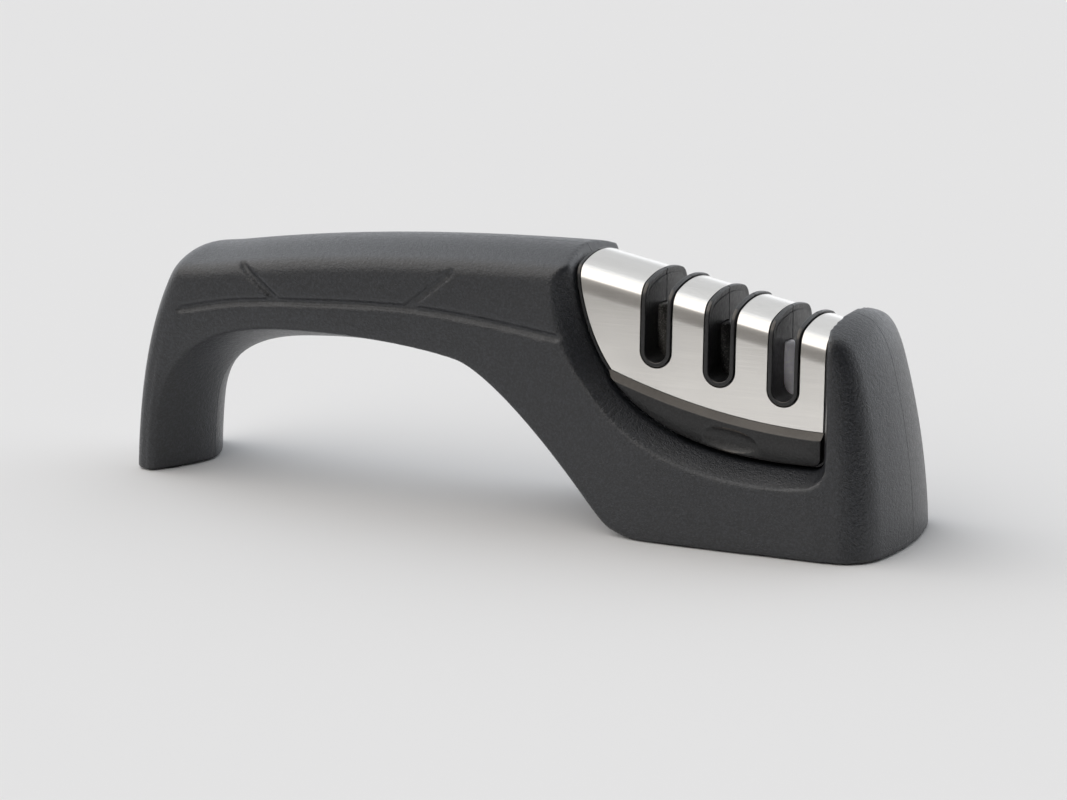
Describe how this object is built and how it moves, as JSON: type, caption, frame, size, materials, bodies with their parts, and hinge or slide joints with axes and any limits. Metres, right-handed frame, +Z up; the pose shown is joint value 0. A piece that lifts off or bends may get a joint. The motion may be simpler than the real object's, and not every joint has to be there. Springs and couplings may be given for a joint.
{
  "type": "knife sharpener",
  "caption": "Hand-held pull-through knife sharpener: arched clamshell handle on a broad base, with a lift-out steel-faced cartridge whose slots hold crossed abrasive rods.",
  "frame": {"origin": "centre of the bounding box on the table plane under the pads", "axes": "+X along the sharpener towards the nose, +Y across it away from the pictured side, +Z up"},
  "size_m": [0.2047, 0.0516, 0.0656],
  "materials": {
    "housing_plastic": "fine spark-eroded grain",
    "core_plastic": "satin",
    "pad_rubber": "matt",
    "cover_steel": "brushed along its length",
    "screw_steel": "zinc plated",
    "coarse_abrasive": "coarse diamond grit",
    "fine_abrasive": "fine diamond grit",
    "rod_ceramic": "fine unglazed"
  },
  "bodies": {
    "housing": {"housing_near_half": "housing_plastic", "housing_far_half": "housing_plastic", "base_pad": "pad_rubber", "foot_pad": "pad_rubber", "housing_screw_leg": "screw_steel", "housing_screw_handle_rear": "screw_steel", "housing_screw_handle_front": "screw_steel", "housing_screw_base": "screw_steel", "housing_screw_nose": "screw_steel"},
    "cartridge": {"cartridge_core_near": "core_plastic", "cartridge_core_far": "core_plastic", "steel_cover": "cover_steel", "coarse_rod_near": "coarse_abrasive", "coarse_rod_far": "coarse_abrasive", "fine_rod_near": "fine_abrasive", "fine_rod_far": "fine_abrasive", "ceramic_rod_near": "rod_ceramic", "ceramic_rod_far": "rod_ceramic", "core_screw_1": "screw_steel", "core_screw_2": "screw_steel", "core_screw_3": "screw_steel", "core_screw_4": "screw_steel"}
  },
  "joints": [
    {"name": "cartridge_lift", "type": "slide", "parent": "housing", "child": "cartridge", "axis": [0, 0, 1], "range_m": [0, 0.05]}
  ]
}
